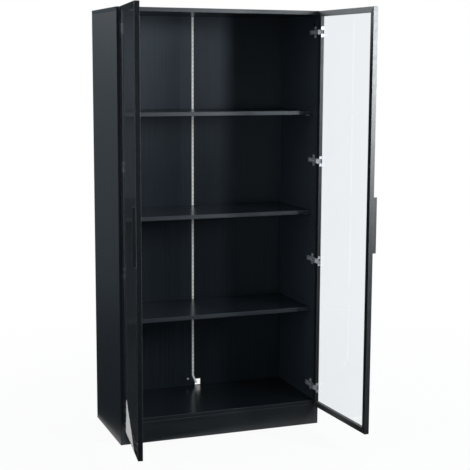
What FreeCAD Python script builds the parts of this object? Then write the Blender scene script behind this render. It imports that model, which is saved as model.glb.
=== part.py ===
import FreeCAD, Part
import os
from FreeCAD import Vector

# Bookcase with two glass doors. All sizes in millimetres, +Z up, the front faces -Y.
# Shapes are laid out with y = 0 on the front edges of the side panels and moved once,
# when they are saved, so that the origin lies under the middle of the plinth.

# Overall size and boards
width = 800.0
height = 1600.0
carcass_depth = 366.0
board = 15.0
back_board = 5.0
plinth_height = 80.0
edge_break = 0.6
rebate_width = 7.5
back_side_gap = 0.5

# Shelves and the rows of holes for their pins
lowest_shelf_top = 458.0
shelf_pitch = 384.0
shelf_setback = 56.0
shelf_back_gap = 5.0
shelf_side_gap = 1.0
pin_radius = 2.5
pin_depth = 9.0
pin_tab_reach = 10.0
pin_tab_width = 14.0
pin_step = 32.0
system_row = 37.0
pin_row_inset = 37.0
hole_slack = 0.02

# Doors: a slim hollow frame with a pane of glass set flush in its outer face
door_gap = 4.0
door_thickness = 17.0
door_top_reveal = 1.0
door_side_reveal = 1.0
door_bottom_level = 78.0
meeting_gap = 3.0
frame_width = 20.0
frame_wall = 1.5
glass_thickness = 4.0
gasket_sheet = 0.5
pane_lap = 6.5
pane_edge_gap = 0.3
rail_lip = 1.5
bracket_leg = 36.0
bracket_slack = 0.2

# Edge pull
handle_bottom = 740.0
handle_height = 200.0
handle_projection = 13.0
handle_plate_width = 26.0
handle_plate = 4.0
handle_lip = 4.0
handle_round = 1.2
handle_screw_spacing = 160.0
handle_screw_radius = 2.0
handle_screw_bite = 3.0
handle_head_radius = 3.8
handle_head_height = 2.2

# Hinges: one vertical axis to each door
top_hinge_inset = 77.0
bottom_hinge_inset = 74.0
middle_hinge_rise = 196.0
pivot_from_door_edge = 10.0
pivot_from_door_face = 12.5
right_open_angle = 93.6
left_open_angle = 97.8
hinge_pin_radius = 1.5
hinge_pin_clearance = 0.05
hinge_eye_radius = 2.4
eye_room = 2.8
neck_thickness = 1.8
neck_reach = 15.6
neck_setback = 6.5
neck_half_height = 8.0
arm_sheet = 1.4
arm_height = 8.5
arm_front = 6.0
arm_rear = 72.0
block_half_height = 6.4
block_front = 20.0
block_rear = 62.0
plate_sheet = 2.0
plate_half_width = 7.0
plate_half_height = 21.0
plate_screw_offset = 16.0
plate_screw_radius = 1.9
plate_screw_length = 12.0
arm_screw_front = 28.0
arm_screw_rear = 52.0
arm_wall_gap = 1.0
wing_slack = 0.2
arm_screw_radius = 2.0
arm_screw_length = 6.0
pan_head_radius = 3.4
pan_head_height = 1.6
cup_half_height = 10.0
cup_sheet = 1.2
cup_margin = 0.5
cup_slack = 0.2
cup_wall_start = 6.5
cup_ear = 9.0
ear_start = 1.0
ear_end = 11.5
ear_sheet = 1.0
edge_notch = 4.5
cup_screw_offset = 14.0
cup_screw_radius = 1.6
cup_screw_head = 3.2
cup_screw_length = 7.0
mouth_slack = 0.8
rivet_head_radius = 2.2
rivet_head_height = 0.6

# Joints between the boards
cam_radius = 7.5
cam_depth = 12.5
cam_distance = 34.0
cam_slack = 0.1
bolt_hole_radius = 3.6
bolt_radius = 2.5
bolt_shank_radius = 2.0
bolt_thread = 11.0
bolt_collar_radius = 3.4
bolt_collar = 2.0
bolt_head_radius = 3.1
bolt_head = 3.0
dowel_radius = 4.0
dowel_length = 30.0
dowel_bite = 10.0
dowel_bevel = 1.0
joint_inset = 50.0
dowel_offset = 32.0
plinth_cam_level = 24.0
cam_recess = 2.0
head_recess = 0.8

# Back panel screws, light strip, sensor and cable hole
back_screw_radius = 1.5
back_screw_length = 16.0
back_screw_head = 3.0
back_screw_pitch = 250.0
back_screw_start = 40.0
back_screw_spread = 250.0
strip_x = 1.5
strip_width = 8.0
strip_thickness = 1.2
strip_top_gap = 1.0
strip_bend = 138.0
strip_tail_inset = 1.0
strip_tail_drop = 16.0
strip_tail_setback = 0.5
chip_size = 5.0
chip_height = 1.4
chip_pitch = 16.7
cable_hole_left = 10.5
cable_hole_width = 24.0
cable_hole_bottom = 96.0
cable_hole_height = 25.0
sensor_x = -20.0
sensor_level = 124.0
sensor_stem_radius = 3.0
sensor_rim_radius = 4.0
sensor_rim = 1.0

# Positions that follow from the sizes above
side_inner = width / 2 - board
side_height = height - board
back_face = carcass_depth - back_board
shelf_depth = back_face - shelf_setback - shelf_back_gap
bottom_top = plinth_height + board
door_inner = -door_gap
door_outer = door_inner - door_thickness
door_hinge_edge = width / 2 - door_side_reveal
door_free_edge = meeting_gap / 2
door_top = height - door_top_reveal
pivot_x = door_hinge_edge - pivot_from_door_edge
pivot_y = door_inner - pivot_from_door_face
stile_inner = door_hinge_edge - frame_width
free_inner = door_free_edge + frame_width
rail_top_inner = door_top - frame_width
rail_bottom_inner = door_bottom_level + frame_width
seat_depth = door_thickness - glass_thickness - gasket_sheet
chamber_end = seat_depth - frame_wall
pane_left = free_inner - pane_lap
pane_right = stile_inner + pane_lap
pane_bottom = door_bottom_level + rail_lip + pane_edge_gap
pane_top = door_top - rail_lip - pane_edge_gap
middle_shelf_top = lowest_shelf_top + shelf_pitch
shelf_tops = {
    "shelf_lower": lowest_shelf_top,
    "shelf_middle": middle_shelf_top,
    "shelf_upper": middle_shelf_top + shelf_pitch,
}
hinge_levels = [
    door_top - top_hinge_inset,
    middle_shelf_top + middle_hinge_rise,
    lowest_shelf_top + middle_hinge_rise,
    door_bottom_level + bottom_hinge_inset,
]
pivot_axis = Vector(0, 0, 1)
up = Vector(0, 0, 1)
right = Vector(1, 0, 0)
back = Vector(0, 1, 0)

os.makedirs("parts", exist_ok=True)


def box(x0, x1, y0, y1, z0, z1):
    return Part.makeBox(x1 - x0, y1 - y0, z1 - z0, Vector(x0, y0, z0))


def rod(radius, length, base, direction):
    return Part.makeCylinder(radius, length, base, direction)


def panel(x0, x1, y0, y1, z0, z1):
    # a board with its sharp edges broken, as an edged board has
    solid = box(x0, x1, y0, y1, z0, z1)
    return solid.makeChamfer(edge_break, solid.Edges)


def join(shapes):
    solid = shapes[0]
    if len(shapes) > 1:
        solid = shapes[0].fuse(shapes[1:])
    return solid.removeSplitter()


def trim(solid, tools):
    if tools:
        solid = solid.cut(tools)
    return solid


def mirrored(shape):
    return shape.mirror(Vector(0, 0, 0), right)


def raised(shape, level):
    copy = shape.copy()
    copy.translate(Vector(0, 0, level))
    return copy


def at_levels(shape):
    return [raised(shape, level) for level in hinge_levels]


def save(name, shapes):
    # one file to each named piece; a group of fasteners is a set of separate solids
    shape = shapes[0] if len(shapes) == 1 else Part.makeCompound(shapes)
    moved = shape.copy()
    moved.translate(Vector(0, -board / 2, 0))
    moved.exportStep("parts/" + name + ".step")


def cross_recess(radius, depth, centre, direction):
    # two crossed slots in a screw head or cam face
    arm = radius * 0.62
    blade = radius * 0.17
    first = Part.makeBox(2 * arm, 2 * blade, depth, Vector(-arm, -blade, -depth))
    second = Part.makeBox(2 * blade, 2 * arm, depth, Vector(-blade, -arm, -depth))
    tool = first.fuse(second)
    tool.Placement = FreeCAD.Placement(centre, FreeCAD.Rotation(up, direction))
    return tool


def pan_screw(radius, length, head_radius, head_height, seat, direction):
    # direction points from the seat of the head along the shank
    shank = rod(radius, length, seat, direction)
    head = rod(head_radius, head_height, seat, direction * -1)
    top = seat - direction * head_height
    solid = join([shank, head])
    return solid.cut(cross_recess(head_radius, head_height * 0.6, top, direction * -1))


def sunk_screw(radius, length, head_radius, top, direction):
    # a countersunk screw whose head is flush at the point top
    depth = head_radius - radius
    head = Part.makeCone(head_radius, radius, depth, top, direction)
    shank = rod(radius, length, top, direction)
    return join([head, shank])


def sunk_hole(radius, length, head_radius, top, direction):
    # the hole for a countersunk screw, wider all round by the slack of a hole
    return sunk_screw(radius + hole_slack, length, head_radius + hole_slack, top, direction)


# Cam joints and dowels. The local frame has x along the bolt, from the board with the
# cam into the board that holds the thread, and z out of the face where the cam is bored.
def cam_joint():
    bolt = join([
        rod(bolt_radius, bolt_thread, Vector(0, 0, 0), right),
        rod(bolt_collar_radius, bolt_collar, Vector(-bolt_collar, 0, 0), right),
        rod(bolt_shank_radius, cam_distance - bolt_head, Vector(bolt_head - cam_distance, 0, 0), right),
        rod(bolt_head_radius, bolt_head, Vector(-cam_distance, 0, 0), right),
    ])
    floor = board / 2 - cam_depth
    cam = rod(cam_radius - cam_slack, cam_depth - cam_slack, Vector(-cam_distance, 0, floor), up)
    slot = rod(bolt_hole_radius, cam_radius + cam_slack, Vector(-cam_distance - cam_slack, 0, 0), right)
    face = Vector(-cam_distance, 0, board / 2 - cam_slack)
    cam = cam.cut([slot, cross_recess(cam_radius, cam_recess, face, up)])
    pocket = rod(cam_radius, cam_depth, Vector(-cam_distance, 0, floor), up)
    way = rod(bolt_hole_radius, cam_distance, Vector(-cam_distance, 0, 0), right)
    thread = rod(bolt_radius + hole_slack, bolt_thread, Vector(0, 0, 0), right)
    return bolt, cam, pocket.fuse(way), thread


def dowel_joint():
    start = dowel_bite - dowel_length
    peg = rod(dowel_radius, dowel_length, Vector(start, 0, 0), right)
    peg = peg.makeChamfer(dowel_bevel, peg.Edges[0:1] + peg.Edges[2:3])
    hole = rod(dowel_radius + hole_slack, dowel_length, Vector(start, 0, 0), right)
    return peg, hole


bolt_shape, cam_shape, cam_tool, thread_tool = cam_joint()
dowel_shape, dowel_tool = dowel_joint()
cam_bolts = []
cam_locks = []
dowels = []


def put(shape, point, bolt_way, cam_way):
    # stand a local shape at a point, with its x along bolt_way and its z along cam_way
    side = cam_way.cross(bolt_way)
    turn = FreeCAD.Matrix(
        bolt_way.x, side.x, cam_way.x, point.x,
        bolt_way.y, side.y, cam_way.y, point.y,
        bolt_way.z, side.z, cam_way.z, point.z,
        0, 0, 0, 1)
    copy = shape.copy()
    copy.Placement = FreeCAD.Placement(turn).multiply(copy.Placement)
    return copy


def cam_at(point, bolt_way, cam_way):
    cam_bolts.append(put(bolt_shape, point, bolt_way, cam_way))
    cam_locks.append(put(cam_shape, point, bolt_way, cam_way))
    return put(cam_tool, point, bolt_way, cam_way), put(thread_tool, point, bolt_way, cam_way)


def dowel_at(point, bolt_way, cam_way):
    dowels.append(put(dowel_shape, point, bolt_way, cam_way))
    return put(dowel_tool, point, bolt_way, cam_way)


side_tools = {1: [], -1: []}
top_tools = []
bottom_tools = []
plinth_tools = []
joint_rows = [joint_inset, carcass_depth - joint_inset]
for hand in (1, -1):
    outward = right * hand
    inward = right * -hand
    for row, step in zip(joint_rows, (dowel_offset, -dowel_offset)):
        # side panel up into the top panel, cam in the inner face of the side
        point = Vector(hand * (width / 2 - board / 2), row, side_height)
        pocket, thread = cam_at(point, up, inward)
        hole = dowel_at(point + back * step, up, inward)
        side_tools[hand] += [pocket, hole]
        top_tools += [thread, hole]
        # bottom panel out into the side panel, cam in its underside
        point = Vector(hand * side_inner, row, plinth_height + board / 2)
        pocket, thread = cam_at(point, outward, up * -1)
        hole = dowel_at(point + back * step, outward, up * -1)
        bottom_tools += [pocket, hole]
        side_tools[hand] += [thread, hole]
    # plinth out into the side panel, cam in its rear face
    point = Vector(hand * side_inner, board / 2, plinth_cam_level)
    pocket, thread = cam_at(point, outward, back)
    hole = dowel_at(point + up * dowel_offset, outward, back)
    plinth_tools += [pocket, hole]
    side_tools[hand] += [thread, hole]

# Shelves, their pins and the rows of holes
pin_rows = [shelf_setback + pin_row_inset, shelf_setback + shelf_depth - pin_row_inset]
shelf_pins = []
pin_holes = []
for name, top in shelf_tops.items():
    under = top - board
    save(name, [panel(
        shelf_side_gap - side_inner, side_inner - shelf_side_gap,
        shelf_setback, shelf_setback + shelf_depth, under, top)])
    for row in [system_row] + pin_rows:
        for step in (-pin_step, 0, pin_step):
            start = Vector(side_inner, row, under - pin_radius + step)
            pin_holes.append(rod(pin_radius + hole_slack, pin_depth, start, right))
    for row in pin_rows:
        stem = rod(pin_radius, pin_depth, Vector(side_inner, row, under - pin_radius), right)
        half = pin_tab_width / 2
        tab = box(
            side_inner - pin_tab_reach, side_inner, row - half, row + half, under - 2 * pin_radius, under)
        pin = join([stem, tab])
        shelf_pins += [pin, mirrored(pin)]
save("shelf_pins", shelf_pins)

# Fixed half of a hinge on the right side panel, at level zero. Its neck comes forward beside
# the door's hinge stile and slants into the pocket of the stile, to an eye round the pin.
def upright_plate(first, last, thickness, half_height):
    along = last - first
    along.normalize()
    aside = Vector(-along.y, along.x, 0) * (thickness / 2)
    low = up * -half_height
    corners = [first + aside + low, last + aside + low, last - aside + low, first - aside + low]
    return Part.Face(Part.makePolygon(corners + corners[:1])).extrude(up * (2 * half_height))


arm_top = side_inner - arm_height
block_face = arm_top + arm_sheet
pivot = Vector(pivot_x, pivot_y, 0)
half = neck_half_height
neck_corner = pivot + Vector(-neck_reach, neck_setback, 0)
neck_root = Vector(neck_corner.x, arm_front + neck_thickness / 2, 0)
arm = join([
    box(arm_top, block_face, arm_front, arm_rear, -half, half),
    box(arm_top, side_inner - arm_wall_gap, arm_front, arm_rear, half - arm_sheet, half),
    box(arm_top, side_inner - arm_wall_gap, arm_front, arm_rear, -half, arm_sheet - half),
    box(neck_root.x, block_face, arm_front, arm_front + neck_thickness, -half, half),
    rod(neck_thickness / 2, 2 * half, neck_root - up * half, up),
    upright_plate(neck_root, neck_corner, neck_thickness, half),
    rod(neck_thickness / 2, 2 * half, neck_corner - up * half, up),
    upright_plate(neck_corner, pivot, neck_thickness, half),
    rod(hinge_eye_radius, 2 * half, pivot - up * half, up),
])
wing_room = box(
    side_inner - plate_sheet - wing_slack, side_inner, system_row - plate_half_width - wing_slack,
    system_row + plate_half_width + wing_slack, -plate_half_height, plate_half_height)
pin_bore = rod(hinge_pin_radius + hinge_pin_clearance, 2 * half, pivot - up * half, up)
arm = arm.cut([pin_bore, wing_room])
block = box(block_face, side_inner, block_front, block_rear, -block_half_height, block_half_height)
wings = box(
    side_inner - plate_sheet, side_inner, system_row - plate_half_width, system_row + plate_half_width,
    -plate_half_height, plate_half_height)
plate = join([block, wings])
arm_screws = []
plate_screws = []
arm_tools = []
plate_tools = []
side_screw_holes = []
for row in (arm_screw_front, arm_screw_rear):
    seat = Vector(arm_top, row, 0)
    arm_screws.append(pan_screw(
        arm_screw_radius, arm_screw_length, pan_head_radius, pan_head_height, seat, right))
    arm_tools.append(rod(arm_screw_radius + hole_slack, arm_screw_length, seat, right))
plate_tools += arm_tools
for step in (-plate_screw_offset, plate_screw_offset):
    seat = Vector(side_inner - plate_sheet, system_row, step)
    plate_screws.append(pan_screw(
        plate_screw_radius, plate_screw_length, pan_head_radius, pan_head_height, seat, right))
    plate_tools.append(rod(plate_screw_radius + hole_slack, plate_screw_length, seat, right))
    side_screw_holes.append(rod(plate_screw_radius + hole_slack, plate_screw_length, seat, right))
arm = arm.cut(arm_tools)
plate = plate.cut(plate_tools)
fixed_sets = {
    "hinge_arms": [arm],
    "hinge_plates": [plate],
    "hinge_arm_screws": arm_screws,
    "hinge_plate_screws": plate_screws,
}
for name, shapes in fixed_sets.items():
    copies = []
    for shape in shapes:
        copies += at_levels(shape)
    save("right_" + name, copies)
    save("left_" + name, [mirrored(copy) for copy in copies])

# Side panels with a rebate for the back panel and all their holes
hinge_holes = []
for shape in side_screw_holes:
    hinge_holes += at_levels(shape)
rebate = box(
    side_inner, side_inner + rebate_width, back_face, carcass_depth, plinth_height, side_height)
blank = panel(side_inner, width / 2, 0, carcass_depth, 0, side_height)
blank = blank.cut([rebate] + pin_holes + hinge_holes)

# Screws through the back panel into the boards behind it
back_screws = []
back_holes = []
side_spots = []
screw_x = side_inner + rebate_width / 2
level = plinth_height + back_screw_start
while level < side_height:
    side_spots += [(screw_x, level), (-screw_x, level)]
    level += back_screw_pitch
edge_spots = []
for x in (-back_screw_spread, 0.0, back_screw_spread):
    edge_spots += [(x, plinth_height + board / 2), (x, side_height + rebate_width / 2)]
for x, z in side_spots + edge_spots:
    seat = Vector(x, carcass_depth, z)
    forward = back * -1
    screw = sunk_screw(back_screw_radius, back_screw_length, back_screw_head, seat, forward)
    back_holes.append(sunk_hole(back_screw_radius, back_screw_length, back_screw_head, seat, forward))
    back_screws.append(screw.cut(cross_recess(back_screw_head, head_recess, seat, back)))
save("back_panel_screws", back_screws)
save("right_side_panel", [trim(blank, side_tools[1] + back_holes)])
save("left_side_panel", [trim(mirrored(blank), side_tools[-1] + back_holes)])

# Top, bottom and plinth
top_rebate = box(
    -side_inner - rebate_width, side_inner + rebate_width, back_face, carcass_depth,
    side_height, side_height + rebate_width)
top = panel(-width / 2, width / 2, 0, carcass_depth, side_height, height)
save("top_panel", [trim(top, [top_rebate] + top_tools + back_holes)])
bottom = panel(-side_inner, side_inner, 0, back_face, plinth_height, bottom_top)
save("bottom_panel", [trim(bottom, bottom_tools + back_holes)])
plinth = panel(-side_inner, side_inner, 0, board, 0, plinth_height)
save("plinth", [trim(plinth, plinth_tools)])
save("cam_bolts", cam_bolts)
save("cam_locks", cam_locks)
save("dowels", dowels)

# Back panel with the cable hole and the sensor hole
back_half = side_inner + rebate_width - back_side_gap
back_panel = box(
    -back_half, back_half, back_face, carcass_depth, plinth_height,
    side_height + rebate_width - back_side_gap)
cable_hole = box(
    cable_hole_left, cable_hole_left + cable_hole_width, back_face, carcass_depth,
    cable_hole_bottom, cable_hole_bottom + cable_hole_height)
sensor_spot = Vector(sensor_x, back_face, sensor_level)
sensor_hole = rod(sensor_stem_radius + hole_slack, back_board, sensor_spot, back)
save("back_panel", [back_panel.cut([cable_hole, sensor_hole] + back_holes)])
rim = rod(sensor_rim_radius, sensor_rim, sensor_spot - back * sensor_rim, back)
stem = rod(sensor_stem_radius, back_board, sensor_spot, back)
dome = Part.makeSphere(sensor_stem_radius, sensor_spot - back * sensor_rim)
keep = rod(sensor_rim_radius, sensor_rim_radius, sensor_spot - back * sensor_rim_radius, back)
save("sensor_eye", [join([rim, stem, dome.common(keep)])])

# Light strip: straight down the back, then slanting to the cable hole and into it
strip_left = strip_x - strip_width / 2
strip_right = strip_x + strip_width / 2
strip_top = side_height - strip_top_gap
tail_low = cable_hole_bottom + cable_hole_height - strip_tail_drop
tail_left = cable_hole_left + strip_tail_inset
tail_right = tail_left + strip_width
tape_front = back_face - strip_thickness
outline = [
    (strip_left, strip_top), (strip_right, strip_top), (strip_right, strip_bend),
    (tail_right, tail_low), (tail_left, tail_low), (strip_left, strip_bend)]
corners = [Vector(x, tape_front, z) for x, z in outline]
tape = Part.Face(Part.makePolygon(corners + corners[:1])).extrude(back * strip_thickness)
tab = box(
    tail_left, tail_right, tape_front, carcass_depth - strip_tail_setback,
    tail_low - strip_thickness, tail_low)
save("light_strip", [join([tape, tab])])
chips = []
level = strip_bend + chip_pitch / 2
while level + chip_size < strip_top:
    chips.append(box(
        strip_x - chip_size / 2, strip_x + chip_size / 2, tape_front - chip_height, tape_front,
        level, level + chip_size))
    level += chip_pitch
save("light_strip_leds", chips)


# Door members. u runs across a member from the glass side to the outer edge,
# w runs through the door from its inner face to its outer face.
def member(side, u0, u1, w0, w1):
    y0 = door_inner - w1
    y1 = door_inner - w0
    if side == "hinge":
        return box(stile_inner + u0, stile_inner + u1, y0, y1, door_bottom_level, door_top)
    if side == "free":
        return box(free_inner - u1, free_inner - u0, y0, y1, door_bottom_level, door_top)
    if side == "top":
        return box(door_free_edge, door_hinge_edge, y0, y1, rail_top_inner + u0, rail_top_inner + u1)
    return box(door_free_edge, door_hinge_edge, y0, y1, rail_bottom_inner - u1, rail_bottom_inner - u0)


def prism(points):
    # a solid through the whole thickness of the door, on an outline of (x, z) points
    corners = [Vector(x, door_outer, z) for x, z in points]
    return Part.Face(Part.makePolygon(corners + corners[:1])).extrude(back * door_thickness)


pane_room = box(
    pane_left - pane_edge_gap, pane_right + pane_edge_gap, door_outer, door_inner - seat_depth,
    pane_bottom - pane_edge_gap, pane_top + pane_edge_gap)


def profile(side):
    # a hollow member whose outer side is let in for the pane
    outer = member(side, 0, frame_width, 0, door_thickness)
    chamber = member(side, frame_wall, frame_width - frame_wall, frame_wall, chamber_end)
    return outer.cut([chamber, pane_room])


outer_corners = {
    "hinge_top": (door_hinge_edge, door_top), "hinge_bottom": (door_hinge_edge, door_bottom_level),
    "free_top": (door_free_edge, door_top), "free_bottom": (door_free_edge, door_bottom_level)}
inner_corners = {
    "hinge_top": (stile_inner, rail_top_inner), "hinge_bottom": (stile_inner, rail_bottom_inner),
    "free_top": (free_inner, rail_top_inner), "free_bottom": (free_inner, rail_bottom_inner)}


def mitred(side):
    # each member keeps its own side of the four 45 degree corner cuts
    ends = {
        "hinge": ["hinge_bottom", "hinge_top"], "free": ["free_bottom", "free_top"],
        "top": ["free_top", "hinge_top"], "bottom": ["free_bottom", "hinge_bottom"]}[side]
    first, last = ends
    outline = [outer_corners[first], outer_corners[last], inner_corners[last], inner_corners[first]]
    return profile(side).common(prism(outline))


frame_parts = {side: mitred(side) for side in ("hinge", "free", "top", "bottom")}

# Corner brackets inside the frame
b0 = frame_wall + bracket_slack
b1 = frame_width - frame_wall - bracket_slack
by0 = door_inner - chamber_end
by1 = door_inner - frame_wall - bracket_slack
brackets = []
for x_edge, x_way in ((door_hinge_edge, -1), (door_free_edge, 1)):
    for z_edge, z_way in ((door_top, -1), (door_bottom_level, 1)):
        xs = sorted([x_edge + x_way * (frame_width - b1), x_edge + x_way * (frame_width - b0)])
        zs = sorted([z_edge + z_way * (frame_width - b1), z_edge + z_way * (frame_width - b0)])
        xl = sorted([x_edge + x_way * (frame_width - b1), x_edge + x_way * (frame_width + bracket_leg)])
        zl = sorted([z_edge + z_way * (frame_width - b1), z_edge + z_way * (frame_width + bracket_leg)])
        brackets.append(join([
            box(xs[0], xs[1], by0, by1, zl[0], zl[1]), box(xl[0], xl[1], by0, by1, zs[0], zs[1])]))

# Glass, and the gasket tape that it is bedded on all round
glass_back = door_outer + glass_thickness
glass = box(pane_left, pane_right, door_outer, glass_back, pane_bottom, pane_top)
gasket = box(pane_left, pane_right, glass_back, glass_back + gasket_sheet, pane_bottom, pane_top)
window = box(
    free_inner, stile_inner, glass_back, glass_back + gasket_sheet, rail_bottom_inner, rail_top_inner)
gasket = gasket.cut(window)

# Edge pull on the outer face, flush with the free edge, and its two screws
handle_top = handle_bottom + handle_height
handle = join([
    box(door_free_edge, door_free_edge + handle_plate_width, door_outer - handle_plate, door_outer,
        handle_bottom, handle_top),
    box(door_free_edge, door_free_edge + handle_lip, door_outer - handle_projection, door_outer,
        handle_bottom, handle_top),
])
soft = []
for edge in handle.Edges:
    if edge.BoundBox.YMax < door_outer - 0.01:
        soft.append(edge)
handle = handle.makeFillet(handle_round, soft)
handle_screws = []
handle_holes = []
handle_mid = handle_bottom + handle_height / 2
for step in (-handle_screw_spacing / 2, handle_screw_spacing / 2):
    seat = Vector(door_free_edge + frame_width / 2, door_inner, handle_mid + step)
    reach = door_thickness + handle_screw_bite
    forward = back * -1
    handle_screws.append(pan_screw(
        handle_screw_radius, reach, handle_head_radius, handle_head_height, seat, forward))
    handle_holes.append(rod(handle_screw_radius + hole_slack, reach, seat, forward))
handle = handle.cut(handle_holes)
frame_parts["free"] = frame_parts["free"].cut(handle_holes)

# Moving half of a hinge in a pocket of the hinge stile, at level zero. Two cheeks hold the
# pin, and an ear above and below them is screwed to the side of the stile next to the glass.
def in_stile(u0, u1, w0, w1, z0, z1):
    return box(stile_inner + u0, stile_inner + u1, door_inner - w1, door_inner - w0, z0, z1)


pivot_u = frame_width - pivot_from_door_edge
pivot_w = pivot_from_door_face
cup_end = frame_width - frame_wall - cup_margin
cup_deep = seat_depth - cup_slack
inside = cup_half_height - cup_sheet
cup_bodies = [
    in_stile(cup_end - cup_sheet, cup_end, cup_wall_start, cup_deep, -cup_half_height, cup_half_height),
    in_stile(pivot_u + eye_room + cup_slack, cup_end, cup_deep - cup_sheet, cup_deep,
             -cup_half_height, cup_half_height),
]
for hand in (1, -1):
    z = sorted([hand * inside, hand * cup_half_height])
    ears = sorted([hand * inside, hand * (cup_half_height + cup_ear)])
    cup_bodies.append(in_stile(-ear_sheet, cup_end, 0, cup_deep, z[0], z[1]))
    cup_bodies.append(in_stile(
        pane_lap + cup_margin, pivot_u + eye_room - cup_slack, cup_deep, pivot_w + eye_room - cup_slack,
        z[0], z[1]))
    cup_bodies.append(in_stile(-ear_sheet, 0, ear_start, ear_end, ears[0], ears[1]))
cup = join(cup_bodies)
hinge_pin = join([
    rod(hinge_pin_radius, 2 * cup_half_height, pivot - up * cup_half_height, up),
    rod(rivet_head_radius, rivet_head_height, pivot + up * cup_half_height, up),
    rod(rivet_head_radius, rivet_head_height, pivot - up * (cup_half_height + rivet_head_height), up),
])
pin_hole = rod(hinge_pin_radius + hole_slack, 2 * cup_half_height, pivot - up * cup_half_height, up)
cup_screws = []
cup_tools = []
for step in (-cup_screw_offset, cup_screw_offset):
    top_point = Vector(stile_inner - ear_sheet, door_inner - (ear_start + ear_end) / 2, step)
    screw = sunk_screw(cup_screw_radius, cup_screw_length, cup_screw_head, top_point, right)
    cup_tools.append(sunk_hole(cup_screw_radius, cup_screw_length, cup_screw_head, top_point, right))
    cup_screws.append(screw.cut(cross_recess(cup_screw_head, head_recess, top_point, right * -1)))
cup = cup.cut([pin_hole] + cup_tools)
room = cup_half_height + mouth_slack
pocket = join([
    in_stile(0, frame_width - frame_wall, 0, seat_depth, -room, room),
    in_stile(pane_lap, pivot_u + eye_room, seat_depth, pivot_w + eye_room, -room, room),
    in_stile(frame_width - frame_wall, frame_width, 0, edge_notch, -room, room),
])
stile_tools = at_levels(pocket)
for tool in cup_tools:
    stile_tools += at_levels(tool)
frame_parts["hinge"] = frame_parts["hinge"].cut(stile_tools)

door_sets = {
    "door_hinge_stile": [frame_parts["hinge"]],
    "door_free_stile": [frame_parts["free"]],
    "door_top_rail": [frame_parts["top"]],
    "door_bottom_rail": [frame_parts["bottom"]],
    "door_corner_brackets": brackets,
    "door_glass": [glass],
    "door_gasket": [gasket],
    "door_handle": [handle],
    "door_handle_screws": handle_screws,
    "hinge_cups": at_levels(cup),
    "hinge_pins": at_levels(hinge_pin),
    "hinge_cup_screws": at_levels(cup_screws[0]) + at_levels(cup_screws[1]),
}
for name, shapes in door_sets.items():
    right_door = [shape.copy() for shape in shapes]
    left_door = [mirrored(shape) for shape in shapes]
    for shape in right_door:
        shape.rotate(Vector(pivot_x, pivot_y, 0), pivot_axis, right_open_angle)
    for shape in left_door:
        shape.rotate(Vector(-pivot_x, pivot_y, 0), pivot_axis, -left_open_angle)
    save("right_" + name, right_door)
    save("left_" + name, left_door)
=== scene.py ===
# %% [markdown]
# # A black bookcase with two glass doors
# The bookcase is a tall box of black boards with three shelves, a pair of framed glass doors and
# a strip of small lamps down the middle of its back. Its shapes come from a CAD model, which is
# loaded here as a fixed frame in metres: +X is the right side seen from the front, +Y the back
# and +Z up. This script gives it its finishes, its light and its camera.

# %% Load the frame
import math

import bpy
from mathutils import Matrix, Vector

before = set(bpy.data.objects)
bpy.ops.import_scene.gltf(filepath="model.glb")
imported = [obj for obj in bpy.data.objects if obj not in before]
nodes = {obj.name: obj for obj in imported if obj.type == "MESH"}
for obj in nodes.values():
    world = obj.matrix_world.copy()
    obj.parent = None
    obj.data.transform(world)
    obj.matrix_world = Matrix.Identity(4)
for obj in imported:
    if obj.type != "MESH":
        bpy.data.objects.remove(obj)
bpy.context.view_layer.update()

# %% [markdown]
# ## The camera
# The photograph was taken from the left of the bookcase, at about eye height, with a long lens.
# Blender can match a photograph by eye, but its place and turn were found here from the straight
# edges of the box, so three angles and a position are enough. The lens is given by how many
# pixels of the image it is long.

# %% Camera
TURN_RIGHT, TILT, ROLL = (math.radians(a) for a in (20.5565, -8.4351, 0.2529))
CAMERA_PLACE = Vector((-1.4346, -3.9621, 1.3943))
IMAGE_PIXELS = 470
LENS_PIXELS = 1139.1
SENSOR_MM = 36.0

look = Vector((math.sin(TURN_RIGHT) * math.cos(TILT),
               math.cos(TURN_RIGHT) * math.cos(TILT),
               math.sin(TILT)))
level = Vector((math.cos(TURN_RIGHT), -math.sin(TURN_RIGHT), 0.0))
upright = level.cross(look)
right = level * math.cos(ROLL) + upright * math.sin(ROLL)
up = upright * math.cos(ROLL) - level * math.sin(ROLL)

lens = bpy.data.cameras.new("photo_camera")
lens.sensor_width = SENSOR_MM
lens.lens = SENSOR_MM * LENS_PIXELS / IMAGE_PIXELS
camera = bpy.data.objects.new("photo_camera", lens)
turned = Matrix((right, up, -look)).transposed().to_4x4()
camera.matrix_world = Matrix.Translation(CAMERA_PLACE) @ turned
bpy.context.scene.collection.objects.link(camera)
bpy.context.scene.camera = camera
bpy.context.scene.view_settings.view_transform = "Standard"
print("camera lens", round(lens.lens, 1), "mm")

# %% [markdown]
# ## Wiring node trees
# The world and every finish below are trees of nodes. In the editor one drags a wire from socket
# to socket and puts Math nodes in between. A script does the same, and a few helpers keep it
# short: one draws a wire, the others add, multiply and test values that run from zero to one.

# %% Wiring helpers
def wire(tree, source, target):
    """Links one socket to another in a node tree."""
    tree.links.new(source, target)


def maths(tree, operation, *values):
    """A Math node that makes a value from zero to one out of sockets and plain numbers."""
    step = tree.nodes.new("ShaderNodeMath")
    step.operation = operation
    step.use_clamp = True
    for socket, value in zip(step.inputs, values):
        if isinstance(value, float):
            socket.default_value = value
        else:
            wire(tree, value, socket)
    return step.outputs[0]


def sum_of(tree, total, *others):
    """Several sockets added up, but to no more than one."""
    for other in others:
        total = maths(tree, "ADD", total, other)
    return total


def product(tree, total, *others):
    """Several sockets multiplied."""
    for other in others:
        total = maths(tree, "MULTIPLY", total, other)
    return total


def none_of(tree, count):
    """One while a count of bounces, or a yes or no, is zero, and zero otherwise."""
    return maths(tree, "LESS_THAN", count, 0.5)


print("wiring helpers ready")

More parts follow.
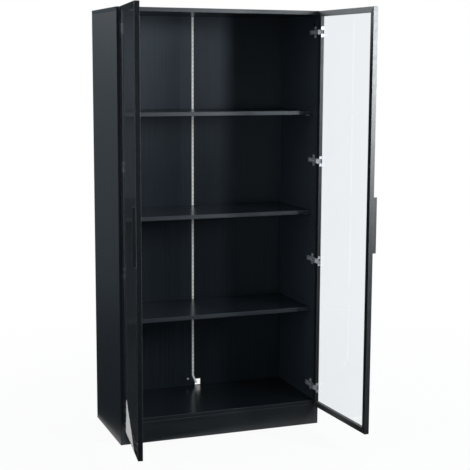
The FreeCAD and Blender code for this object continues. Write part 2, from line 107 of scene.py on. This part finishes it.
# %% [markdown]
# ## What a ray sees
# The room in the photograph is white, but a room that shines as white as it looks would wash the
# black boards out to grey. Blender's Light Path node can tell rays apart, so the white is kept
# for rays that see the room straight from the camera, in a reflection or through the glass, and
# the light on the boards is set on its own. Rays that were mirrored inside a pane get a dark
# room, because the photograph shows hardly any reflection in the glass.

# %% Kinds of ray
def seen_directly(tree):
    """One for rays from the camera, also by way of a mirror or glass, and zero for light on things."""
    path = tree.nodes.new("ShaderNodeLightPath").outputs
    through = product(tree, path["Is Transmission Ray"], none_of(tree, path["Glossy Depth"]))
    mirrored = product(tree, path["Is Glossy Ray"], none_of(tree, path["Is Transmission Ray"]))
    seen = sum_of(tree, path["Is Camera Ray"], mirrored, through)
    return product(tree, seen, none_of(tree, path["Diffuse Depth"]))


def mirrored_in_glass(tree):
    """One for rays that were mirrored inside a pane and came out on the camera's side."""
    path = tree.nodes.new("ShaderNodeLightPath").outputs
    inside = none_of(tree, none_of(tree, path["Glossy Depth"]))
    return product(tree, path["Is Transmission Ray"], inside, none_of(tree, path["Diffuse Depth"]))


print("kinds of ray ready")

# %% [markdown]
# ## The studio
# A dark, satin object is mostly a picture of what stands around it, so the room matters as much
# as the finish. A picture of a real studio could be wrapped round it, but three even glows do: a
# white one to look at, a weaker and cooler one that lights the boards from all sides, and a dark
# one for the inside of the panes.

# %% World
WHITE = (1.0, 1.0, 1.0, 1.0)
COOL_WHITE = (0.93, 0.97, 1.0, 1.0)
GLOW = 0.70
DARK_ROOM = 0.03
BACKDROP = "ShaderNodeBackground"


def bare_tree(owner):
    """The emptied node tree of a world or a material."""
    owner.use_nodes = True
    owner.node_tree.nodes.clear()
    return owner.node_tree


def glow(tree, kind, strength, colour=WHITE):
    """A node of a glowing kind with an even strength and colour."""
    source = tree.nodes.new(kind)
    source.inputs["Color"].default_value = colour
    source.inputs["Strength"].default_value = strength
    return source.outputs[0]


def mix(tree, fac, first, second):
    """A shader that goes from the first to the second."""
    blend = tree.nodes.new("ShaderNodeMixShader")
    for socket, source in zip(blend.inputs, (fac, first, second)):
        wire(tree, source, socket)
    return blend.outputs[0]


world = bpy.data.worlds.new("white_studio")
bpy.context.scene.world = world
tree = bare_tree(world)
room = mix(tree, seen_directly(tree), glow(tree, BACKDROP, GLOW, COOL_WHITE), glow(tree, BACKDROP, 1.0))
room = mix(tree, mirrored_in_glass(tree), room, glow(tree, BACKDROP, DARK_ROOM))
wire(tree, room, tree.nodes.new("ShaderNodeOutputWorld").inputs["Surface"])
print("world glow", GLOW)

# %% [markdown]
# ## The floor's paint
# The bookcase stands on a plain white floor that runs into the white background. Seen straight,
# most of the floor's white is its own glow, and all of it further off, so that no horizon shows.
# The rest is paint lit by the lamps, which keeps a soft shadow round the plinth. The light that
# the floor throws back on the boards comes from a duller paint.

# %% Floor paint
FLOOR_PAINT = 0.90
FLOOR_BOUNCE = 0.35
SHADOW_SHARE = 0.08
SHADOW_REACH = (0.9, 2.4)
EMISSION = "ShaderNodeEmission"
NOISE_SPREAD = (0.3, 0.7)


def between(tree, fac, low, high, spread=NOISE_SPREAD):
    """A value or a colour that goes from low to high while another value crosses a spread."""
    if isinstance(low, tuple):
        ramp = tree.nodes.new("ShaderNodeValToRGB")
        for stop, place, colour in zip(ramp.color_ramp.elements, spread, (low, high)):
            stop.position = place
            stop.color = (*colour, 1.0)
        wire(tree, fac, ramp.inputs["Fac"])
        return ramp.outputs["Color"]
    span = tree.nodes.new("ShaderNodeMapRange")
    for socket, value in zip(("From Min", "From Max", "To Min", "To Max"), (*spread, low, high)):
        span.inputs[socket].default_value = value
    wire(tree, fac, span.inputs["Value"])
    return span.outputs["Result"]


def matt(tree, grey):
    """A matt paint of one grey."""
    paint = tree.nodes.new("ShaderNodeBsdfDiffuse")
    paint.inputs["Color"].default_value = (grey, grey, grey, 1.0)
    return paint.outputs[0]


floor_paint = bpy.data.materials.new("floor_paint")
tree = bare_tree(floor_paint)
away = tree.nodes.new("ShaderNodeVectorMath")
away.operation = "LENGTH"
wire(tree, tree.nodes.new("ShaderNodeTexCoord").outputs["Object"], away.inputs[0])
own_share = between(tree, away.outputs["Value"], 1.0 - SHADOW_SHARE, 1.0, spread=SHADOW_REACH)
ground = mix(tree, own_share, matt(tree, FLOOR_PAINT), glow(tree, EMISSION, 1.0))
ground = mix(tree, seen_directly(tree), matt(tree, FLOOR_BOUNCE), ground)
ground = mix(tree, mirrored_in_glass(tree), ground, glow(tree, EMISSION, DARK_ROOM))
wire(tree, ground, tree.nodes.new("ShaderNodeOutputMaterial").inputs["Surface"])
print("floor paint", FLOOR_PAINT, "seen", FLOOR_BOUNCE, "thrown back")

# %% [markdown]
# ## Laying the floor
# One large square is enough for a floor.

# %% Floor
FLOOR_HALF = 30.0


def lying(x_low, y_low, x_high, y_high, z=0.0):
    """The corners of a flat piece that lies square on the floor."""
    return [(x_low, y_low, z), (x_high, y_low, z), (x_high, y_high, z), (x_low, y_high, z)]


def flat_piece(name, corners, material):
    """A four-cornered plane that belongs to the studio."""
    mesh = bpy.data.meshes.new(name)
    mesh.from_pydata(corners, [], [(0, 1, 2, 3)])
    mesh.materials.append(material)
    piece = bpy.data.objects.new(name, mesh)
    bpy.context.scene.collection.objects.link(piece)
    return piece


flat_piece("studio_floor", lying(-FLOOR_HALF, -FLOOR_HALF, FLOOR_HALF, FLOOR_HALF), floor_paint)
print("floor", 2 * FLOOR_HALF, "m wide")

# %% [markdown]
# ## The lamps
# The photograph shows two lights: a tall softbox in front on the right, which shines on the board
# edges, the open door's edge and the upper left of the back, and one high behind on the left,
# which shines over the top on the doors' rails and down the left side. The first one is narrow, so
# the right side panel throws an upright shadow with a clear edge on the back. A wide lamp above
# softens the shadows, and two weak ones beside the camera and in front lift the dark right half of
# the inside. Area lamps make light like that. A narrow spread does what a honeycomb grid does on a
# real softbox: it keeps the light from the boards that lie beside its aim.

# %% Lamps
MIDDLE = (0.0, 0.0, 0.9)
LAMP_WHITE = (0.92, 0.97, 1.0)


def softbox(name, place, size, watts, aim=MIDDLE, spread=180.0):
    """An area lamp of a cool white that faces its aim, with a spread in degrees."""
    lamp = bpy.data.lights.new(name, "AREA")
    lamp.shape = "RECTANGLE"
    lamp.size, lamp.size_y = size
    lamp.energy = watts
    lamp.color = LAMP_WHITE
    lamp.spread = math.radians(spread)
    holder = bpy.data.objects.new(name, lamp)
    holder.location = place
    holder.rotation_euler = (Vector(aim) - Vector(place)).to_track_quat("-Z", "Y").to_euler()
    holder.visible_camera = False
    bpy.context.scene.collection.objects.link(holder)
    print("lamp", name, "at", place, watts, "W")


softbox("right_softbox", place=(1.56, -2.02, 1.62), size=(0.30, 0.90), watts=28.0,
        aim=(0.1, 0.0, 1.70), spread=112.0)
softbox("back_softbox", place=(-2.8, 3.1, 2.7), size=(1.0, 1.4), watts=42.0)
softbox("inside_softbox", place=(-1.6, -2.6, 1.2), size=(0.5, 0.5), watts=0.60,
        aim=(0.42, 0.2, 0.95), spread=40.0)
softbox("front_softbox", place=(0.30, -3.6, 0.75), size=(0.3, 1.5), watts=0.19,
        aim=(0.27, 0.35, 0.75), spread=16.0)
softbox("top_softbox", place=(0.0, -0.8, 3.6), size=(2.6, 2.0), watts=8.0)

# %% [markdown]
# ## Dark cards
# A photographer puts dark cards round a glossy black object, because a white room would turn it
# grey. These cards stand round the bookcase and lie on the floor, and their grey is a cool one.
# They are seen only in reflections, so they take no light away. Glowing paper of a low strength
# is the plainest way to show one tone in every reflection, whatever the lamps do.

# %% Card paper
SIDE_TONE = 0.18
WALL_TONE = 0.04
GROUND_TONE = 0.02
CARD_GREY = (0.80, 1.0, 1.12, 1.0)


def card_paper(name, tone):
    """A paper that shows one tone in every reflection."""
    paper = bpy.data.materials.new(name)
    tree = bare_tree(paper)
    shine = glow(tree, EMISSION, tone, CARD_GREY)
    wire(tree, shine, tree.nodes.new("ShaderNodeOutputMaterial").inputs["Surface"])
    return paper


wall_paper = card_paper("dark_wall_paper", WALL_TONE)
ground_paper = card_paper("dark_ground_paper", GROUND_TONE)
side_paper = card_paper("dark_side_paper", SIDE_TONE)
print("card papers", wall_paper.name, ground_paper.name, side_paper.name)

# %% [markdown]
# ## Setting the cards up
# The standing cards close the room on the left, the right, in front and part of the back. On the
# floor, two cards are cut at a slant: the one on the left leaves a wedge of white floor along the
# side panel, and the one in front leaves a wedge along the plinth, because the photograph shows
# the glow of both. The others fill up the floor, and a gap to the right of the back stays white.

# %% Cards
ROOM_LEFT, ROOM_RIGHT, ROOM_FRONT, ROOM_BACK = -6.0, 8.0, -8.0, 8.0
CARD_HEIGHT, FRONT_CARD_HEIGHT = 6.0, 20.0
BACK_SPLIT, BACK_END = -1.2, 0.4
CARD_LIFT = 0.002
FRONT_SPLIT = -0.37
PLINTH_WEDGE = (-0.005, -0.67)  # how near the front card comes, at its left end and at its right end
SIDE_FRONT, SIDE_BACK = -0.5, 0.56
SIDE_WEDGE = (-0.452, -0.40)  # how near the left card comes, at its front end and at its back end
BEHIND_RIGHT, BEHIND_BACK = -0.9, 2.5


def standing(x_start, y_start, x_end, y_end, high=CARD_HEIGHT):
    """The corners of a card that stands on the floor."""
    return [(x_start, y_start, 0.0), (x_end, y_end, 0.0), (x_end, y_end, high), (x_start, y_start, high)]


def cut(*corners):
    """The corners of a card that lies on the floor and is cut to a shape of its own."""
    return [(x, y, CARD_LIFT) for x, y in corners]


plinth_cut = cut((FRONT_SPLIT, ROOM_FRONT), (ROOM_RIGHT, ROOM_FRONT),
                 (ROOM_RIGHT, PLINTH_WEDGE[1]), (FRONT_SPLIT, PLINTH_WEDGE[0]))
side_cut = cut((ROOM_LEFT, SIDE_FRONT), (SIDE_WEDGE[0], SIDE_FRONT),
               (SIDE_WEDGE[1], SIDE_BACK), (ROOM_LEFT, SIDE_BACK))
CARDS = {
    "left_card": (side_paper, standing(ROOM_LEFT, ROOM_FRONT, ROOM_LEFT, ROOM_BACK)),
    "back_left_card": (side_paper, standing(ROOM_LEFT, ROOM_BACK, BACK_SPLIT, ROOM_BACK)),
    "back_card": (wall_paper, standing(BACK_SPLIT, ROOM_BACK, BACK_END, ROOM_BACK)),
    "front_card": (ground_paper,
                   standing(ROOM_LEFT, ROOM_FRONT, ROOM_RIGHT, ROOM_FRONT, FRONT_CARD_HEIGHT)),
    "floor_card_front": (ground_paper, plinth_cut),
    "floor_card_camera": (ground_paper, lying(ROOM_LEFT, ROOM_FRONT, FRONT_SPLIT, SIDE_FRONT, CARD_LIFT)),
    "right_card": (wall_paper, standing(ROOM_RIGHT, ROOM_FRONT, ROOM_RIGHT, ROOM_BACK)),
    "floor_card_left": (ground_paper, side_cut),
    "floor_card_behind": (ground_paper, lying(ROOM_LEFT, SIDE_BACK, BEHIND_RIGHT, BEHIND_BACK, CARD_LIFT)),
    "floor_card_far": (side_paper, lying(ROOM_LEFT, BEHIND_BACK, BEHIND_RIGHT, ROOM_BACK, CARD_LIFT)),
    "floor_card_back": (ground_paper, lying(BEHIND_RIGHT, SIDE_BACK, BACK_END, ROOM_BACK, CARD_LIFT)),
}
for name, (paper, corners) in CARDS.items():
    card = flat_piece(name, corners, paper)
    for kind in ("camera", "diffuse", "transmission", "shadow", "volume_scatter"):
        setattr(card, "visible_" + kind, False)
print(len(CARDS), "dark cards")

# %% [markdown]
# ## Starting a finish
# Every finish below is a node tree round one Principled shader. Its patterns are noises in the
# object's own coordinates, in metres, so a grain of a few millimetres is written as such and
# stays on the piece when a door turns. Painted pictures could do the same, but they would need
# unwrapped meshes, and a noise has no seams.

# %% Helpers for finishes
HUNDREDTH_MM = 0.00001
NOISE_ROUGHNESS = 0.55


def start_finish(name, **even):
    """A new material with a Principled shader whose even values are set on its own sockets."""
    material = bpy.data.materials.new(name)
    material.use_nodes = True
    shader = material.node_tree.nodes["Principled BSDF"]
    for socket, value in even.items():
        shader.inputs[socket.replace("_", " ")].default_value = value
    return material, material.node_tree, shader


def noise(tree, per_metre, detail=4.0, seed=0.0, turn=(0.0, 0.0, 0.0)):
    """A noise with a number of waves per metre along each axis, and turned if it has no grain."""
    place = tree.nodes.new("ShaderNodeTexCoord")
    stretch = tree.nodes.new("ShaderNodeMapping")
    stretch.inputs["Scale"].default_value = per_metre
    stretch.inputs["Rotation"].default_value = turn
    stretch.inputs["Location"].default_value = (seed, seed, seed)
    wire(tree, place.outputs["Object"], stretch.inputs["Vector"])
    cloud = tree.nodes.new("ShaderNodeTexNoise")
    cloud.inputs["Scale"].default_value = 1.0
    cloud.inputs["Detail"].default_value = detail
    cloud.inputs["Roughness"].default_value = NOISE_ROUGHNESS
    wire(tree, stretch.outputs["Vector"], cloud.inputs["Vector"])
    return cloud.outputs["Fac"]


def relief(tree, shader, height, metres, strength=0.5):
    """A Bump node that makes a noise look as if it were some metres high."""
    bump = tree.nodes.new("ShaderNodeBump")
    bump.inputs["Strength"].default_value = strength
    bump.inputs["Distance"].default_value = metres
    wire(tree, height, bump.inputs["Height"])
    wire(tree, bump.outputs["Normal"], shader.inputs["Normal"])
    return bump


print("finish helpers ready")

# %% [markdown]
# ## Rounded arrises with a painted highlight
# No real edge is perfectly sharp: the arrises are a little round and catch thin lines of light.
# The CAD edges are sharp. A Bevel modifier could round them, but for a millimetre that is a lot
# of faces, so a Bevel node bends only the light there. The same bend tells the shader where to
# paint a lighter colour on the edges, which is a painted highlight.

# %% Arrises
ARRIS = 0.0014
ARRIS_BEND = (0.80, 0.98)


def two_tones(tree, fac, first, second):
    """A colour that goes from the first to the second, which may be one even colour."""
    tones = tree.nodes.new("ShaderNodeMix")
    tones.data_type = "RGBA"
    sockets = {socket.name: socket for socket in tones.inputs if socket.enabled}
    wire(tree, fac, sockets["Factor"])
    wire(tree, first, sockets["A"])
    if isinstance(second, tuple):
        sockets["B"].default_value = (*second, 1.0)
    else:
        wire(tree, second, sockets["B"])
    return next(socket for socket in tones.outputs if socket.enabled)


def round_arrises_and_paint_highlight(tree, shader, bump, rubbed_and_highlight):
    """Rounds the edges of a piece to the light, and paints a lighter colour on them as a painted highlight.
    """
    rounded = tree.nodes.new("ShaderNodeBevel")
    rounded.inputs["Radius"].default_value = ARRIS
    wire(tree, rounded.outputs["Normal"], bump.inputs["Normal"])
    face = tree.nodes.new("ShaderNodeNewGeometry")
    bend = tree.nodes.new("ShaderNodeVectorMath")
    bend.operation = "DOT_PRODUCT"
    wire(tree, rounded.outputs["Normal"], bend.inputs[0])
    wire(tree, face.outputs["Normal"], bend.inputs[1])
    # The edges get a lighter colour: a painted highlight.
    edge = between(tree, bend.outputs["Value"], 1.0, 0.0, spread=ARRIS_BEND)
    colour = shader.inputs["Base Color"].links[0].from_socket
    wire(tree, two_tones(tree, edge, colour, rubbed_and_highlight), shader.inputs["Base Color"])


print("arrises", 1000 * ARRIS, "mm round")

# %% [markdown]
# ## Telling faces apart
# A board has two large faces and narrow edges with a duller band glued on, and a tone may belong
# to one face only. Each face could get a material slot of its own, but the CAD mesh stays as it
# is, so the shader asks the surface which way it looks.

# %% Faces
LOOKS_AGAINST = (-0.9, -0.5)


def way(tree, axis):
    """How far a face looks along an axis of the frame, from minus one to one."""
    parts = tree.nodes.new("ShaderNodeSeparateXYZ")
    wire(tree, tree.nodes.new("ShaderNodeTexCoord").outputs["Normal"], parts.inputs[0])
    return parts.outputs[axis]


def facing(tree, axis):
    """One on faces that look along or against an axis, zero on the others."""
    return maths(tree, "ABSOLUTE", way(tree, axis))


def looking(tree, axis):
    """One on faces that look against an axis, to the left or to the front, zero on the others."""
    return between(tree, way(tree, axis), 1.0, 0.0, spread=LOOKS_AGAINST)


print("face helpers ready")

# %% [markdown]
# ## The boards
# The sides, shelves, top, bottom and plinth are chipboard with a black laminate, pressed with a
# faint wood grain. It is nearly even in colour, so most of the grain is in its sheen and in a
# bump of a few hundredths of a millimetre. The grain runs up the sides and along the shelves,
# which takes two stretches of the same noise. In the photograph the right side is lighter inside
# and the bottom and plinth are darker, because of how the light falls there: the right side's
# left face gets a lighter tone as painted light, and the bottom and plinth a darker tone as
# painted shade. One helper with a tone for the board and one for its left face makes them all.

# %% Board finish
UPRIGHT_GRAIN = (700.0, 700.0, 18.0)
LEVEL_GRAIN = (18.0, 700.0, 700.0)
FIGURE_SHARE = 0.25
FACE_GLOSS = (0.21, 0.26)
SIDE_GLOSS = (0.40, 0.52)
BAND_GLOSS = (0.40, 0.52)
# A lighter colour painted on the boards' arrises: a painted highlight.
BOARD_ARRIS_HIGHLIGHT = (0.055, 0.062, 0.068)
BOARD_BLACK = ((0.0118, 0.0160, 0.0208), (0.0165, 0.0225, 0.0290))


def board_finish(name, grain, face_gloss, tone=1.0, left_face_painted_light=1.0):
    """Black laminate with a grain, a tone for the whole board, used as painted shade, and another for its
    left face, used as painted light.
    """
    material, tree, shader = start_finish(name, Specular_IOR_Level=0.5)
    figure = noise(tree, tuple(waves * FIGURE_SHARE for waves in grain), detail=5.0)
    pores = noise(tree, grain, detail=3.0, seed=3.7)
    tones = []
    for share in (tone, tone * left_face_painted_light):
        dark, light = (tuple(c * share for c in colour) for colour in BOARD_BLACK)
        tones.append(between(tree, figure, dark, light))
    wire(tree, two_tones(tree, looking(tree, "X"), *tones), shader.inputs["Base Color"])
    gloss = tree.nodes.new("ShaderNodeMix")
    wire(tree, facing(tree, "Y"), gloss.inputs["Factor"])
    wire(tree, between(tree, figure, *face_gloss), gloss.inputs["A"])
    wire(tree, between(tree, figure, *BAND_GLOSS), gloss.inputs["B"])
    wire(tree, gloss.outputs["Result"], shader.inputs["Roughness"])
    bump = relief(tree, shader, pores, 3 * HUNDREDTH_MM)
    round_arrises_and_paint_highlight(tree, shader, bump, BOARD_ARRIS_HIGHLIGHT)
    return material


board_upright = board_finish("black_board_upright", UPRIGHT_GRAIN, SIDE_GLOSS)
# Painted light: the right side's left face, inside the case, gets a tone 2.4 times lighter.
board_right_painted_light = board_finish("black_board_right_painted_light", UPRIGHT_GRAIN, SIDE_GLOSS, left_face_painted_light=2.4)
# Painted shade: the bottom panel and the plinth get a darker tone all over.
board_bottom_painted_shade = board_finish("black_board_bottom_painted_shade", LEVEL_GRAIN, FACE_GLOSS, tone=0.6)
board_level = board_finish("black_board_level", LEVEL_GRAIN, FACE_GLOSS)
print("board finishes", board_upright.name, board_right_painted_light.name, board_level.name, board_bottom_painted_shade.name)

# %% [markdown]
# ## The back panel
# The back is a thin fibreboard with a black film. The light on it comes out in upright streaks, as
# on a brushed sheet, so its shine has a cool tint and is stretched with the shader's anisotropy,
# and its colour follows a noise of long upright bands. In the photograph the half to the right of
# the lamp strip is darker, because it lies in the shade of the right door's pane, so a darker tone
# is painted there as painted shade: two tones meet behind the strip, on the face that looks to
# the front.

# %% Back finish
FILM_TINT = (0.80, 0.89, 1.0, 1.0)
LEFT_FILM = ((0.0100, 0.0141, 0.0191), (0.0155, 0.0217, 0.0284))
RIGHT_FILM_PAINTED_SHADE = ((0.0052, 0.0078, 0.0101), (0.0080, 0.0118, 0.0149))
FILM_GLOSS = (0.46, 0.54)
FILMS_MEET = (-0.002, 0.002)
STREAKS = (450.0, 450.0, 25.0)
BANDS = (170.0, 170.0, 2.5)

back_film, tree, shader = start_finish("black_back_film", Specular_IOR_Level=0.25, Anisotropic=0.75,
                                       Specular_Tint=FILM_TINT)
streaks = noise(tree, STREAKS, seed=1.3)
bands = noise(tree, BANDS, detail=3.0, seed=4.4)
across = tree.nodes.new("ShaderNodeSeparateXYZ")
wire(tree, tree.nodes.new("ShaderNodeTexCoord").outputs["Object"], across.inputs[0])
# The darker right half is painted shade, where the right door's pane shades the back.
right_half = between(tree, across.outputs["X"], 0.0, 1.0, spread=FILMS_MEET)
painted_shade_mask = product(tree, right_half, looking(tree, "Y"))
film = two_tones(tree, painted_shade_mask, between(tree, bands, *LEFT_FILM), between(tree, bands, *RIGHT_FILM_PAINTED_SHADE))
wire(tree, film, shader.inputs["Base Color"])
wire(tree, between(tree, streaks, *FILM_GLOSS), shader.inputs["Roughness"])
relief(tree, shader, streaks, 4 * HUNDREDTH_MM)
print("back finish", back_film.name)

# %% [markdown]
# ## The door frames
# The frames and the edge pulls are aluminium with a satin black coat. A coat like that has a
# very fine orange peel, so its bump is a tight noise, and faint rubbed patches change its gloss.
# The two doors stand at different angles to the lamps, and the photograph shows how unlike their
# bars look: bright rails and a bright right edge, but nearly black bars on the hinge side. One
# helper with a shine and a span of roughness gives each kind of bar a coat of its own.

# %% Frame finish
PEEL = (1500.0, 1500.0, 1500.0)
RUBBED_PATCHES = (60.0, 60.0, 60.0)
SKEW = (0.7, 0.5, 0.9)
COAT_BLACK = ((0.0060, 0.0075, 0.0095), (0.0095, 0.0118, 0.0145))
# A lighter colour painted on the coat's arrises: a painted highlight.
COAT_ARRIS_HIGHLIGHT = (0.20, 0.22, 0.24)


def coat_finish(name, shine, gloss, ior=1.5):
    """Black satin coat on aluminium, with a level of shine and a span of roughness."""
    material, tree, shader = start_finish(name, Specular_IOR_Level=shine, IOR=ior)
    peel = noise(tree, PEEL, detail=2.0, turn=SKEW)
    rubbed_and_highlight = noise(tree, RUBBED_PATCHES, seed=8.1, turn=SKEW)
    wire(tree, between(tree, rubbed_and_highlight, *COAT_BLACK), shader.inputs["Base Color"])
    wire(tree, between(tree, rubbed_and_highlight, *gloss), shader.inputs["Roughness"])
    bump = relief(tree, shader, peel, 3 * HUNDREDTH_MM)
    round_arrises_and_paint_highlight(tree, shader, bump, COAT_ARRIS_HIGHLIGHT)
    return material


frame_coat = coat_finish("black_frame_coat", shine=0.32, gloss=(0.36, 0.41))
lit_coat = coat_finish("black_lit_coat", shine=1.0, gloss=(0.45, 0.50))
rail_coat = coat_finish("black_rail_coat", shine=0.95, gloss=(0.44, 0.50), ior=1.9)
shaded_coat = coat_finish("black_shaded_coat", shine=0.1, gloss=(0.30, 0.36))
reveal_coat = coat_finish("black_reveal_coat", shine=0.64, gloss=(0.46, 0.56))
print("frame finishes", frame_coat.name, lit_coat.name, rail_coat.name, shaded_coat.name, reveal_coat.name)

# %% [markdown]
# ## The glass
# Each door holds one pane of clear 4 mm glass. Real glass is a Principled shader with full
# transmission, and a faint film of dust keeps it from looking like empty air. Lamps can't shine
# through such a shader, and light that has bounced off a board gets bent in it, which blurs the
# shadow on the back. Both kinds of ray pass a transparent shader instead. The photograph shows
# hardly any reflection in the panes. The index of refraction sets how much glass mirrors, so it is
# lower here than the 1.5 of window glass, as if the pane were coated.

# %% Glass finish
GLASS_IOR = 1.25
DUSTY_GLASS = ((0.909, 0.944, 0.967), (0.921, 0.954, 0.975))
DUST_BLUR = (0.0, 0.004)
DUST_CLOUDS = (9.0, 9.0, 9.0)
PANE_SHADE = (0.71, 0.72, 0.73, 1.0)

clear_glass, tree, shader = start_finish("clear_door_glass", Transmission_Weight=1.0, IOR=GLASS_IOR)
dust = noise(tree, DUST_CLOUDS, detail=6.0, seed=2.2)
wire(tree, between(tree, dust, *DUSTY_GLASS), shader.inputs["Base Color"])
wire(tree, between(tree, dust, *DUST_BLUR), shader.inputs["Roughness"])
clear = tree.nodes.new("ShaderNodeBsdfTransparent")
clear.inputs["Color"].default_value = PANE_SHADE
path = tree.nodes.new("ShaderNodeLightPath").outputs
bounced = product(tree, path["Is Glossy Ray"], none_of(tree, path["Transmission Depth"]))
straight = sum_of(tree, path["Is Shadow Ray"], path["Is Diffuse Ray"], bounced)
pane = mix(tree, straight, shader.outputs[0], clear.outputs[0])
wire(tree, pane, tree.nodes["Material Output"].inputs["Surface"])
print("glass finish", clear_glass.name)

# %% [markdown]
# ## The gasket
# A black rubber lip holds each pane in its groove. Rubber is dull with a fine grain. One flat
# black would look like a gap beside the glass, so a fine noise changes its colour, its roughness
# and its relief together. Most of the small pieces below are made in the same way.

# %% Gasket finish
def speckled_finish(name, per_metre, colours, gloss, height, detail=4.0, strength=0.5, **even):
    """A finish whose colour, roughness and relief, if it has a height, follow one noise."""
    material, tree, shader = start_finish(name, **even)
    marks = noise(tree, per_metre, detail=detail)
    wire(tree, between(tree, marks, *colours), shader.inputs["Base Color"])
    wire(tree, between(tree, marks, *gloss), shader.inputs["Roughness"])
    if height:
        relief(tree, shader, marks, height, strength)
    return material


rubber = speckled_finish("black_gasket_rubber", per_metre=(2500.0, 2500.0, 2500.0),
                         colours=((0.008, 0.008, 0.009), (0.016, 0.016, 0.017)), gloss=(0.55, 0.7),
                         height=3 * HUNDREDTH_MM, detail=2.0, Specular_IOR_Level=0.3)
print("gasket finish", rubber.name)

# %% [markdown]
# ## The metal fittings
# Hinges and shelf pins are nickel-plated steel, their screws are zinc, and the frame's corner
# brackets are bare aluminium. They differ in tone and in how even the surface is: a rolled sheet
# has long fine streaks, a casting has round grain, and a dull plating is less metallic than a bare
# metal. The cam locks and the screws of the back and of the pulls are blackened, because the
# photograph shows no bright spots there. The left hinges are the same fittings as the right
# ones, but they hardly show through the glass, so their arms get the black steel and their cups
# and cup screws a darker copy of the nickel: both are painted shade.

# %% Metal finishes
ROLLED = (900.0, 120.0, 900.0)
PLATE_GLOSS = (0.34, 0.46)

nickel = speckled_finish("nickel_plate", ROLLED, colours=((0.56, 0.58, 0.60), (0.70, 0.72, 0.74)),
                         gloss=PLATE_GLOSS, height=HUNDREDTH_MM, Metallic=0.65)
# A darker copy of the nickel: painted shade on the left hinges' cups and cup screws.
nickel_painted_shade = speckled_finish("nickel_plate_painted_shade", ROLLED, colours=((0.17, 0.18, 0.19), (0.23, 0.24, 0.25)),
                              gloss=PLATE_GLOSS, height=HUNDREDTH_MM, Metallic=0.65)
zinc = speckled_finish("zinc_casting", per_metre=(1200.0, 1200.0, 1200.0),
                       colours=((0.62, 0.63, 0.64), (0.76, 0.77, 0.78)), gloss=(0.35, 0.5),
                       height=3 * HUNDREDTH_MM, Metallic=0.5)
alloy = speckled_finish("bracket_alloy", per_metre=(100.0, 900.0, 900.0),
                        colours=((0.66, 0.67, 0.68), (0.80, 0.81, 0.82)), gloss=(0.25, 0.4),
                        height=2 * HUNDREDTH_MM, Metallic=1.0)
# Also painted shade: the left hinge arms get this black steel.
black_steel_and_painted_shade = speckled_finish("blackened_steel_and_painted_shade", per_metre=(1500.0, 1500.0, 1500.0),
                              colours=((0.02, 0.02, 0.022), (0.05, 0.05, 0.053)), gloss=(0.3, 0.45),
                              height=2 * HUNDREDTH_MM, Metallic=1.0)
print("metal finishes", nickel.name, nickel_painted_shade.name, zinc.name, alloy.name, black_steel_and_painted_shade.name)

# %% [markdown]
# ## The dowels
# Beech dowels hold the boards together. They are hidden in the joints, and one brown would do for
# that, but somebody may take the boards apart. So they get wood: a noise that is drawn out in one
# direction, as grain is.

# %% Dowel finish
beech = speckled_finish("beech_dowel", per_metre=(60.0, 500.0, 500.0),
                        colours=((0.42, 0.27, 0.15), (0.58, 0.40, 0.24)), gloss=(0.6, 0.75),
                        height=5 * HUNDREDTH_MM, strength=0.6, Specular_IOR_Level=0.3)
print("dowel finish", beech.name)

# %% [markdown]
# ## The lamp strip and its sensor
# The lamp strip is a white printed tape with small yellowish lamps on it, and the sensor is a
# white moulded button beside it. The strip is off in the photograph, so nothing here glows: a
# glow would make the tape brighter than the light in the room allows.

# %% Strip finishes
tape = speckled_finish("white_lamp_tape", per_metre=(300.0, 300.0, 120.0),
                       colours=((0.80, 0.81, 0.80), (0.90, 0.91, 0.90)), gloss=(0.35, 0.5),
                       height=3 * HUNDREDTH_MM, detail=3.0, Specular_IOR_Level=0.5)
lamp_lens = speckled_finish("small_lamp_lens", per_metre=(400.0, 400.0, 400.0),
                            colours=((0.70, 0.64, 0.42), (0.84, 0.80, 0.62)), gloss=(0.15, 0.3),
                            height=0.0, detail=2.0, Specular_IOR_Level=0.5)
button = speckled_finish("white_sensor_plastic", per_metre=(900.0, 900.0, 900.0),
                         colours=((0.70, 0.70, 0.69), (0.80, 0.80, 0.79)), gloss=(0.3, 0.42),
                         height=2 * HUNDREDTH_MM, detail=3.0, Specular_IOR_Level=0.5)
print("strip finishes", tape.name, lamp_lens.name, button.name)

# %% [markdown]
# ## Handing out the finishes
# Each CAD node is one kind of piece, so the finishes are handed out by the nodes' names. Where a
# piece comes as a left and a right one, its name without a side stands for both. A node keeps its
# mesh and only changes its material.

# %% Hand out
FINISHES = {
    board_upright: ["left_side_panel"],
    board_right_painted_light: ["right_side_panel"],
    board_level: ["top_panel", "shelf_upper", "shelf_middle", "shelf_lower"],
    board_bottom_painted_shade: ["bottom_panel", "plinth"],
    back_film: ["back_panel"],
    frame_coat: ["left_door_free_stile", "left_door_handle"],
    lit_coat: ["right_door_free_stile", "right_door_handle"],
    rail_coat: ["door_top_rail", "door_bottom_rail"],
    reveal_coat: ["right_door_hinge_stile"],
    shaded_coat: ["left_door_hinge_stile"],
    clear_glass: ["door_glass"],
    rubber: ["door_gasket"],
    nickel: ["shelf_pins", "cam_bolts", "hinge_plates", "right_hinge_arms", "right_hinge_cups", "hinge_pins"],
    # Painted shade: the left hinges' cups, cup screws and arms get darker metals than the right ones.
    nickel_painted_shade: ["left_hinge_cups", "left_hinge_cup_screws"],
    zinc: ["hinge_arm_screws", "hinge_plate_screws", "right_hinge_cup_screws"],
    alloy: ["door_corner_brackets"],
    black_steel_and_painted_shade: ["cam_locks", "back_panel_screws", "door_handle_screws", "left_hinge_arms"],
    beech: ["dowels"],
    tape: ["light_strip"],
    lamp_lens: ["light_strip_leds"],
    button: ["sensor_eye"],
}
dressed = set()
for finish, names in FINISHES.items():
    for name in names:
        for node in (name, "left_" + name, "right_" + name):
            if node in nodes:
                nodes[node].active_material = finish
                dressed.add(node)
print("dressed", len(dressed), "nodes, bare", sorted(set(nodes) - dressed))
